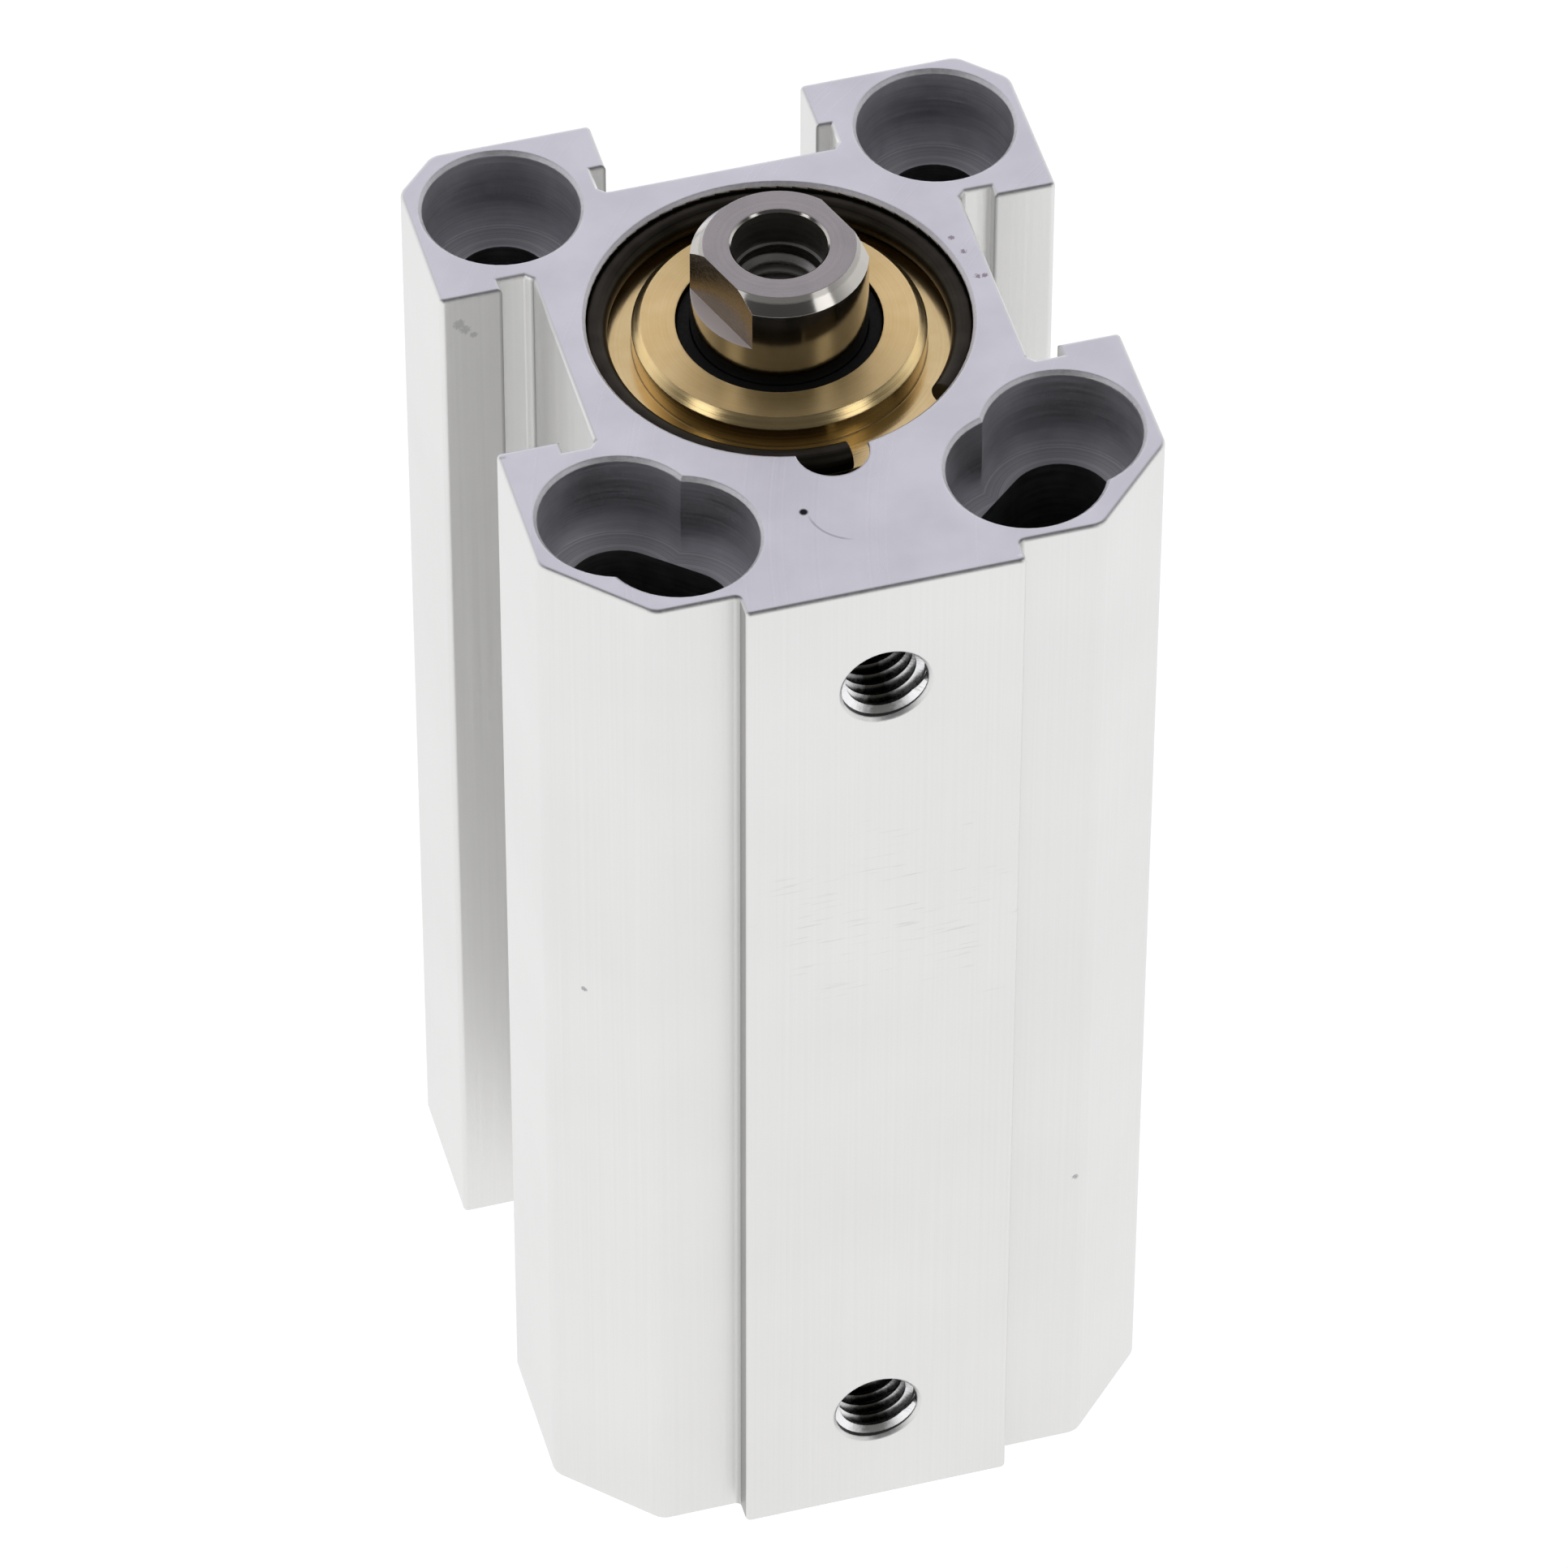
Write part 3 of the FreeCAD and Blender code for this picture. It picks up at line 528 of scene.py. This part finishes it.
def body_zone(centre, normal):
    x, y, z = (value / MM for value in centre)
    from_end = min(z, BODY_LENGTH - z)
    radius = math.hypot(x, y)
    bolt = min(math.dist((abs(x), y), place) for place in BOLTS)
    in_notch = abs(x) < NOTCH_HALF and -NOTCH_END < y < 0
    from_port = min(abs(z - height) for height in PORT_HEIGHTS)
    at_port = max(abs(x), from_port) < PORT_RADIUS + RIM
    if from_end < LEVEL and abs(normal.z) > FACING:
        return MILLED
    if bolt < COUNTERBORE_RADIUS + RIM:
        if from_end < RIM:
            return CUT_EDGE
        if from_end > COUNTERBORE_DEPTH + LEVEL:
            return THROUGH
        return SPOT_FACE if abs(normal.z) > FACING else COUNTERBORE
    if radius < RECESS_RADIUS or (in_notch and from_end < COUNTERBORE_DEPTH):
        return CUT_EDGE if from_end < RIM else RECESS
    if at_port and -PORT_FACE + RIM < y < 0:
        return THROUGH
    if in_undercut(x, y):
        return SLOT_WALL
    if on_slot_bed(x, y):
        return SLOT_BED
    if abs(normal.x) > FACING and abs(abs(x) - PAD_HALF) < LEVEL and y < 0:
        return PAD_WALL
    return SIDE


def dress_body():
    mesh = dress(
        "cylinder_body",
        anodised("anodised_side", (0.755, 0.752, 0.745), (0.8, 0.797, 0.79)),
        milled_end(),
        cut_edge(),
        bored_wall("counterbore_wall", (0.76, 0.76, 0.78), (0.93, 0.93, 0.96), smooth=0.38, rough=0.48),
        # Counterbore floors: pale and nearly non-metallic, painted light
        spot_face_painted_light(),
        # Bolt and port hole walls: near-black, painted shade inside the holes
        bored_wall("through_hole_painted_shade", (0.08, 0.08, 0.08), (0.16, 0.16, 0.16), metallic=0.5),
        # Wall of the recess under the cover: dark brown, painted shade with a painted reflection of the
        # brass
        bored_wall("recess_wall_painted_shade", (0.09, 0.075, 0.05), (0.16, 0.135, 0.095), metallic=0.6),
        # Walls behind the slot lips: a near-white copy of the side, painted light
        anodised("slot_wall_painted_light", (0.96, 0.96, 0.95), (1.0, 1.0, 0.99)),
        # Slot floors: a darker copy of the side, painted shade
        anodised("slot_bed_painted_shade", (0.67, 0.667, 0.662), (0.72, 0.717, 0.712)),
        # Side walls of the port pad: a darker copy of the side, painted shade in the step beside the pad
        anodised("pad_wall_painted_shade", (0.38, 0.38, 0.375), (0.46, 0.46, 0.455)),
    )
    for polygon in mesh.polygons:
        polygon.material_index = body_zone(polygon.center, polygon.normal)


# Faces of the rod by what made them
POLISHED, TURNED_END, ROD_HOLE, FLAT, LEDGE, SHOULDER, BEVEL = range(7)

# Dark and light colours of those faces, where hole, flat, ledge and shoulder carry painted shade, reflection
# and light, and the two depths below the rod's top between which the bevel has a painted highlight
ROD_STEEL = ((0.49, 0.47, 0.44), (0.53, 0.51, 0.48))
END_STEEL = ((0.39, 0.365, 0.36), (0.46, 0.425, 0.42))
# Near-black steel of the threaded hole: painted shade
HOLE_PAINTED_SHADE = ((0.08, 0.076, 0.065), (0.15, 0.142, 0.125))
# Dark brown steel of the flats: painted reflection of the brass cover
FLAT_PAINTED_REFLECTION = ((0.31, 0.25, 0.175), (0.37, 0.3, 0.22))
# Near-white steel of the ledge under the flats: painted light
LEDGE_PAINTED_LIGHT = ((0.9, 0.84, 0.86), (1.0, 0.94, 0.96))
# Near-white steel of the shoulder in the hole: painted light
SHOULDER_PAINTED_LIGHT = ((0.85, 0.84, 0.82), (1.0, 0.99, 0.97))
ROD_POLISH = (0.11, 0.15)
# Span of the painted highlight along the bevel, and its metallic
HIGHLIGHT_STRIP = (0.32, 0.22)
HIGHLIGHT_METALLIC = 0.45


def polished_steel(name):
    return turned_metal(name, *ROD_STEEL, *ROD_POLISH, POLISHED_DEPTH, CRISP_EDGE)


def bevel_with_painted_highlight():
    """Bevel of the rod's end, with a painted highlight along its upper edge: a pale, less metallic strip."""
    material = polished_steel("rod_bevel_painted_highlight")
    tree = material.node_tree
    height = parts_of(tree, millimetres(tree))["Z"]
    # Painted highlight: the upper strip of the bevel turns less metallic and pale
    metallic = remap(tree, height, *(ROD_TOP - drop for drop in HIGHLIGHT_STRIP), 1, HIGHLIGHT_METALLIC)
    tree.links.new(metallic, tree.nodes["Principled BSDF"].inputs["Metallic"])
    return material


def rod_zone(centre, normal):
    x, y, z = (value / MM for value in centre)
    away = math.hypot(x, y)
    from_axis = abs(x * normal.x + y * normal.y)
    from_top = ROD_TOP - z
    if away < ROD_HOLE_RADIUS:
        return SHOULDER if normal.z > LEVEL else ROD_HOLE
    if abs(normal.z) > FACING:
        return TURNED_END if from_top < LEVEL else LEDGE
    if abs(normal.z) < LEVEL and from_axis < ROD_RADIUS - RIM:
        return FLAT
    if normal.z > LEVEL and away > ROD_RADIUS - ROD_BEVEL_REACH and from_top < ROD_BEVEL_REACH:
        return BEVEL
    return POLISHED


def dress_rod():
    """Polished rod with a painted highlight on its bevel, a turned end face, milled flats, painted light on
    ledge and shoulder, and a threaded hole darkened by painted shade.
    """
    mesh = dress(
        "piston_rod",
        polished_steel("polished_rod"),
        turned_metal("cut_rod", *END_STEEL, smooth=0.24, rough=0.32, marks=FINE_LATHE_DEPTH),
        # Threaded hole: near-black walls, painted shade inside it
        bored_wall("rod_hole_painted_shade", *HOLE_PAINTED_SHADE, smooth=0.25, rough=0.4, metallic=0.7),
        # Flats: darker brown steel, a painted reflection of the brass cover
        turned_metal("milled_flat_painted_reflection", *FLAT_PAINTED_REFLECTION, 0.22, 0.3, POLISHED_DEPTH, CRISP_EDGE),
        # Ledge under the flats: near-white and barely metallic, painted light
        bored_wall("milled_ledge_painted_light", *LEDGE_PAINTED_LIGHT, smooth=0.3, rough=0.4, metallic=0.28, softness=CRISP_EDGE),
        # Shoulder inside the hole: near-white and barely metallic, painted light
        bored_wall("hole_shoulder_painted_light", *SHOULDER_PAINTED_LIGHT, 0.25, 0.35, metallic=0.2, softness=CRISP_EDGE),
        bevel_with_painted_highlight(),
    )
    for polygon in mesh.polygons:
        polygon.material_index = rod_zone(polygon.center, polygon.normal)


def dress_cover():
    """Brass cover whose raised face shows its turning marks."""
    brass = turned_metal("turned_brass", (0.80, 0.59, 0.28), (0.92, 0.71, 0.37), 0.16, 0.24)
    mesh = dress("rod_cover", brass, brushed_brass())
    for polygon in mesh.polygons:
        on_top = polygon.center.z / MM > COVER_TOP - LEVEL
        polygon.material_index = int(on_top and polygon.normal.z > FACING)


SEALS = ("rod_wiper", "rod_seal", "rod_cover_o_ring", "piston_seal", "rod_o_ring", "rear_cover_o_ring")


def dress_seals():
    rubber = soft_material("black_rubber", (0.004, 0.004, 0.004), smooth=0.6, rough=0.75)
    for node in SEALS:
        dress(node, rubber)


def dress_bumpers():
    urethane = soft_material("urethane", (0.62, 0.5, 0.22), smooth=0.3, rough=0.45)
    for node in ("front_bumper", "rear_bumper"):
        dress(node, urethane)


def dress_snap_rings():
    wire = turned_metal("spring_steel", (0.03, 0.026, 0.02), (0.06, 0.052, 0.042), smooth=0.35, rough=0.5)
    for node in ("front_snap_ring", "rear_snap_ring"):
        dress(node, wire)


def dress_aluminium_pieces():
    bare = turned_metal("bare_aluminium", (0.70, 0.70, 0.71), (0.82, 0.82, 0.83), smooth=0.22, rough=0.34)
    for node in ("rear_cover", "piston_front_half", "piston_rear_half"):
        dress(node, bare)


def dress_piston_screw():
    zinc = turned_metal("zinc_steel", (0.56, 0.56, 0.58), (0.7, 0.7, 0.73), smooth=0.22, rough=0.34)
    for node in ("piston_washer", "piston_screw"):
        dress(node, zinc)


def dress_piston_rings():
    plastic = soft_material("guide_plastic", (0.2, 0.17, 0.14), smooth=0.4, rough=0.55)
    dress("piston_wear_ring", plastic)
    magnet = turned_metal("magnet", (0.06, 0.06, 0.065), (0.12, 0.12, 0.13), smooth=0.45, rough=0.6)
    dress("piston_magnet", magnet)


def dress_pieces():
    dress_body()
    dress_rod()
    dress_cover()
    dress_seals()
    dress_bumpers()
    dress_snap_rings()
    dress_aluminium_pieces()
    dress_piston_screw()
    dress_piston_rings()


# Threads, with the tilts in degrees that turn +Z to the back and down
THREAD_STEEL = ((0.75, 0.73, 0.7), (0.95, 0.93, 0.9))
TILT_BACK = -90
TILT_DOWN = 180


def thread_section(turn, turns, wall):
    """Radius and height of the ridge's four corners after some turns, lower near either end."""
    level = THREAD_BASE / 2 + turn * THREAD_PITCH
    rise = min(1, turn / THREAD_LEAD_IN, (turns - turn) / THREAD_RUN_OUT)
    crest = wall - (wall - THREAD_CREST) * max(rise, THREAD_LEAST_RISE)
    return (
        (wall + THREAD_SINK, level - THREAD_BASE / 2),
        (crest, level - THREAD_TIP / 2),
        (crest, level + THREAD_TIP / 2),
        (wall + THREAD_SINK, level + THREAD_BASE / 2),
    )


def thread_ridge(name, dims, place, body, material):
    """Helical ridge inside a hole, running along the place's +Z from the hole's mouth."""
    turns = (dims["length_mm"] - THREAD_BASE) / THREAD_PITCH
    count = round(turns * THREAD_STEPS)
    vertices = []
    for step in range(count + 1):
        turn = step / THREAD_STEPS
        angle = turn * math.tau
        section = thread_section(turn, turns, dims["r_mm"])
        vertices += [(r * math.cos(angle) * MM, r * math.sin(angle) * MM, z * MM) for r, z in section]
    corners = len(section)
    faces = []
    for first in range(0, count * corners, corners):
        for side in range(corners):
            after = (side + 1) % corners
            faces.append((first + side, first + corners + side, first + corners + after, first + after))
    faces.append(tuple(range(corners)))
    faces.append(tuple(count * corners + side for side in reversed(range(corners))))
    mesh = bpy.data.meshes.new(name)
    mesh.from_pydata(vertices, [], faces)
    mesh.materials.append(material)
    mesh.transform(place)
    ridge = bpy.data.objects.new(name, mesh)
    bpy.context.scene.collection.objects.link(ridge)
    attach(ridge, body)


def into_hole(mount, tilt):
    """Frame at a hole's mouth, tilted about X by some degrees so that its +Z runs into the hole."""
    half_length = mount["dims"]["length_mm"] / 2 * MM
    mouth = Vector(mount["pos_m"]) + Vector(mount["axis"]) * half_length
    return Matrix.Translation(mouth) @ Matrix.Rotation(math.radians(tilt), 4, "X")


def make_threads():
    cut = port_thread()
    steel = bored_wall("rod_thread", *THREAD_STEEL, smooth=0.25, rough=0.35, metallic=0.8)
    for name, hole, tilt, body, slot, material in (
        ("port_front_thread", "port_front", TILT_BACK, "barrel", "anodised_aluminium", cut),
        ("port_rear_thread", "port_rear", TILT_BACK, "barrel", "anodised_aluminium", cut),
        ("rod_end_thread", "rod_end_thread", TILT_DOWN, "rod", "rod_steel", steel),
    ):
        mount = mounts[hole]
        thread_ridge(name, mount["dims"], into_hole(mount, tilt), body, material)


# Camera, at the photograph's viewing angle, in degrees and metres
CAMERA_AZIMUTH = -15.725
CAMERA_ELEVATION = 46.469
CAMERA_ROLL = 0.173
CAMERA_DISTANCE = 674.85 * MM
CAMERA_LENS_MM = 266.03
CAMERA_SENSOR_MM = 36
CAMERA_TARGET_HEIGHT = 40 * MM
CAMERA_TARGET = Vector((0, 0, CAMERA_TARGET_HEIGHT))
CAMERA_RIGHT_SHIFT = 0.337 * MM
CAMERA_UP_SHIFT = -0.627 * MM


def direction(azimuth, elevation):
    """Unit vector from the object to a place at two angles in degrees, with the front at azimuth 0."""
    turn = math.radians(azimuth)
    rise = math.radians(elevation)
    return Vector((math.sin(turn) * math.cos(rise), -math.cos(turn) * math.cos(rise), math.sin(rise)))


def make_camera():
    azimuth = math.radians(CAMERA_AZIMUTH)
    back = direction(CAMERA_AZIMUTH, CAMERA_ELEVATION)
    turn = Matrix.Rotation(math.radians(CAMERA_ROLL), 3, back)
    right = turn @ Vector((math.cos(azimuth), math.sin(azimuth), 0))
    up = back.cross(right)
    place = CAMERA_TARGET + back * CAMERA_DISTANCE + right * CAMERA_RIGHT_SHIFT + up * CAMERA_UP_SHIFT
    data = bpy.data.cameras.new("camera")
    data.lens = CAMERA_LENS_MM
    data.sensor_width = CAMERA_SENSOR_MM
    camera = bpy.data.objects.new("camera", data)
    camera.matrix_world = Matrix.Translation(place) @ Matrix((right, up, back)).transposed().to_4x4()
    bpy.context.scene.collection.objects.link(camera)
    bpy.context.scene.camera = camera


# Studio, in metres, watts and degrees; the turns and the wall's top are spans of Y and Z of a direction
FLOOR_HALF = 6.0
FLOOR_COLOUR = (0.25, 0.25, 0.25)
FLOOR_ROUGHNESS = 0.9
FLOOR_LIGHT = (1, 1, 1)
FLOOR_GLOW = 0.93
SKY_FRONT = (0.08, 0.08, 0.08)
SKY_BACK = (0.68, 0.67, 0.73)
SKY_TURN = (0.1, 0.55)
WALL_FRONT = (0.5, 0.5, 0.5)
WALL_BACK = (1.0, 1.0, 1.0)
WALL_TURN = (-0.9, -0.5)
WALL_TOP = (0.25, 0.5)
LAMP_TURN = 57
LAMP_ELEVATION = 32
LAMP_DISTANCE = 1.22
LAMP_WIDTH = 0.45
LAMP_POWER = 0.8


def make_floor():
    """White paper that is lit from below, so that it stays even and shadows are faint."""
    mesh = bpy.data.meshes.new("floor")
    corners = [(x * FLOOR_HALF, y * FLOOR_HALF, 0) for x, y in ((-1, -1), (1, -1), (1, 1), (-1, 1))]
    mesh.from_pydata(corners, [], [(0, 1, 2, 3)])
    floor = bpy.data.objects.new("floor", mesh)
    bpy.context.scene.collection.objects.link(floor)
    material, tree, shader = new_material("floor_paper", 0.0)
    shader.inputs["Base Color"].default_value = (*FLOOR_COLOUR, 1)
    shader.inputs["Roughness"].default_value = FLOOR_ROUGHNESS
    shader.inputs["Emission Color"].default_value = (*FLOOR_LIGHT, 1)
    shader.inputs["Emission Strength"].default_value = FLOOR_GLOW
    mesh.materials.append(material)


def make_lamp(name, turn):
    """Round lamp turned by some degrees round the object from the camera's side."""
    towards = direction(CAMERA_AZIMUTH + turn, LAMP_ELEVATION)
    data = bpy.data.lights.new(name, "AREA")
    data.shape = "DISK"
    data.size = LAMP_WIDTH
    data.energy = LAMP_POWER
    lamp = bpy.data.objects.new(name, data)
    lamp.location = CAMERA_TARGET + towards * LAMP_DISTANCE
    lamp.rotation_euler = towards.to_track_quat("Z", "Y").to_euler()
    bpy.context.scene.collection.objects.link(lamp)


def make_sky():
    """Soft surroundings, darker on the side that the photograph was taken from."""
    world = bpy.data.worlds.new("studio")
    bpy.context.scene.world = world
    world.use_nodes = True
    tree = world.node_tree
    parts = parts_of(tree, add(tree, "ShaderNodeTexCoord").outputs["Generated"])
    above = blend(tree, remap(tree, parts["Y"], *SKY_TURN), SKY_FRONT, SKY_BACK)
    around_it = blend(tree, remap(tree, parts["Y"], *WALL_TURN), WALL_FRONT, WALL_BACK)
    colour = blend(tree, remap(tree, parts["Z"], *WALL_TOP), around_it, above)
    tree.links.new(colour, tree.nodes["Background"].inputs["Color"])


def make_studio():
    bpy.context.scene.view_settings.view_transform = "Standard"
    make_floor()
    make_sky()
    make_lamp("left_lamp", -LAMP_TURN)
    make_lamp("right_lamp", LAMP_TURN)


dress_pieces()
make_threads()
make_camera()
make_studio()
